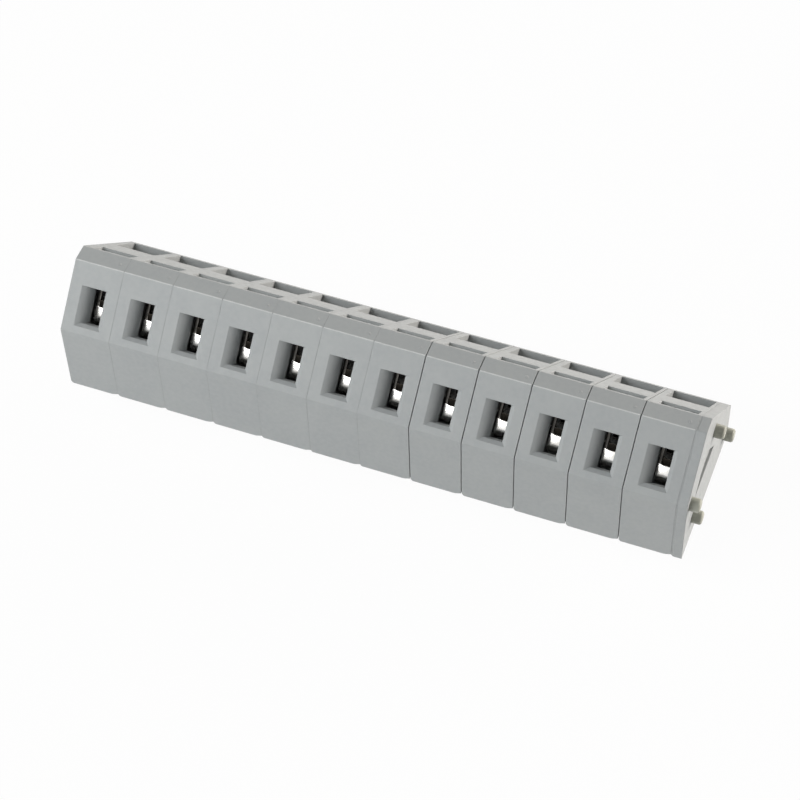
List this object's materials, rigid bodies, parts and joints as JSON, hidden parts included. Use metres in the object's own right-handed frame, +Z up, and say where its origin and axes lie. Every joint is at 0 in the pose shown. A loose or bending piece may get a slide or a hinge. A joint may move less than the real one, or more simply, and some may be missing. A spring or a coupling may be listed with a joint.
{
  "type": "pcb terminal block",
  "caption": "Strip of grey spring-clamp poles for a circuit board, with wire entries on a 45 degree face, screwdriver slots on the back slope and solder pins under the base.",
  "frame": {"origin": "middle of the solder pin field, on the face of the circuit board", "axes": "+X along the strip towards the end plate, +Y away from the wire side, +Z up from the board"},
  "size_m": [0.0624, 0.0153, 0.0171],
  "materials": {
    "grey_plastic": "fine matte moulded polyamide",
    "tinned_bar": "tin plated copper",
    "spring_steel": "bright spring steel strip"
  },
  "bodies": {
    "strip": {"housing_01": "grey_plastic", "housing_02": "grey_plastic", "housing_03": "grey_plastic", "housing_04": "grey_plastic", "housing_05": "grey_plastic", "housing_06": "grey_plastic", "housing_07": "grey_plastic", "housing_08": "grey_plastic", "housing_09": "grey_plastic", "housing_10": "grey_plastic", "housing_11": "grey_plastic", "housing_12": "grey_plastic", "contact_bar_01": "tinned_bar", "contact_bar_02": "tinned_bar", "contact_bar_03": "tinned_bar", "contact_bar_04": "tinned_bar", "contact_bar_05": "tinned_bar", "contact_bar_06": "tinned_bar", "contact_bar_07": "tinned_bar", "contact_bar_08": "tinned_bar", "contact_bar_09": "tinned_bar", "contact_bar_10": "tinned_bar", "contact_bar_11": "tinned_bar", "contact_bar_12": "tinned_bar", "end_plate": "grey_plastic"},
    "clamp_01": {"clamp_spring_01": "spring_steel"},
    "clamp_02": {"clamp_spring_02": "spring_steel"},
    "clamp_03": {"clamp_spring_03": "spring_steel"},
    "clamp_04": {"clamp_spring_04": "spring_steel"},
    "clamp_05": {"clamp_spring_05": "spring_steel"},
    "clamp_06": {"clamp_spring_06": "spring_steel"},
    "clamp_07": {"clamp_spring_07": "spring_steel"},
    "clamp_08": {"clamp_spring_08": "spring_steel"},
    "clamp_09": {"clamp_spring_09": "spring_steel"},
    "clamp_10": {"clamp_spring_10": "spring_steel"},
    "clamp_11": {"clamp_spring_11": "spring_steel"},
    "clamp_12": {"clamp_spring_12": "spring_steel"}
  },
  "joints": [
    {"name": "clamp_01_open", "type": "slide", "parent": "strip", "child": "clamp_01", "axis": [0, -0.7071, -0.7071], "range_m": [0, 0.0018], "stiffness_N_per_m": 5000, "deforming": ["clamp_spring_01"]},
    {"name": "clamp_02_open", "type": "slide", "parent": "strip", "child": "clamp_02", "axis": [0, -0.7071, -0.7071], "range_m": [0, 0.0018], "stiffness_N_per_m": 5000, "deforming": ["clamp_spring_02"]},
    {"name": "clamp_03_open", "type": "slide", "parent": "strip", "child": "clamp_03", "axis": [0, -0.7071, -0.7071], "range_m": [0, 0.0018], "stiffness_N_per_m": 5000, "deforming": ["clamp_spring_03"]},
    {"name": "clamp_04_open", "type": "slide", "parent": "strip", "child": "clamp_04", "axis": [0, -0.7071, -0.7071], "range_m": [0, 0.0018], "stiffness_N_per_m": 5000, "deforming": ["clamp_spring_04"]},
    {"name": "clamp_05_open", "type": "slide", "parent": "strip", "child": "clamp_05", "axis": [0, -0.7071, -0.7071], "range_m": [0, 0.0018], "stiffness_N_per_m": 5000, "deforming": ["clamp_spring_05"]},
    {"name": "clamp_06_open", "type": "slide", "parent": "strip", "child": "clamp_06", "axis": [0, -0.7071, -0.7071], "range_m": [0, 0.0018], "stiffness_N_per_m": 5000, "deforming": ["clamp_spring_06"]},
    {"name": "clamp_07_open", "type": "slide", "parent": "strip", "child": "clamp_07", "axis": [0, -0.7071, -0.7071], "range_m": [0, 0.0018], "stiffness_N_per_m": 5000, "deforming": ["clamp_spring_07"]},
    {"name": "clamp_08_open", "type": "slide", "parent": "strip", "child": "clamp_08", "axis": [0, -0.7071, -0.7071], "range_m": [0, 0.0018], "stiffness_N_per_m": 5000, "deforming": ["clamp_spring_08"]},
    {"name": "clamp_09_open", "type": "slide", "parent": "strip", "child": "clamp_09", "axis": [0, -0.7071, -0.7071], "range_m": [0, 0.0018], "stiffness_N_per_m": 5000, "deforming": ["clamp_spring_09"]},
    {"name": "clamp_10_open", "type": "slide", "parent": "strip", "child": "clamp_10", "axis": [0, -0.7071, -0.7071], "range_m": [0, 0.0018], "stiffness_N_per_m": 5000, "deforming": ["clamp_spring_10"]},
    {"name": "clamp_11_open", "type": "slide", "parent": "strip", "child": "clamp_11", "axis": [0, -0.7071, -0.7071], "range_m": [0, 0.0018], "stiffness_N_per_m": 5000, "deforming": ["clamp_spring_11"]},
    {"name": "clamp_12_open", "type": "slide", "parent": "strip", "child": "clamp_12", "axis": [0, -0.7071, -0.7071], "range_m": [0, 0.0018], "stiffness_N_per_m": 5000, "deforming": ["clamp_spring_12"]}
  ]
}
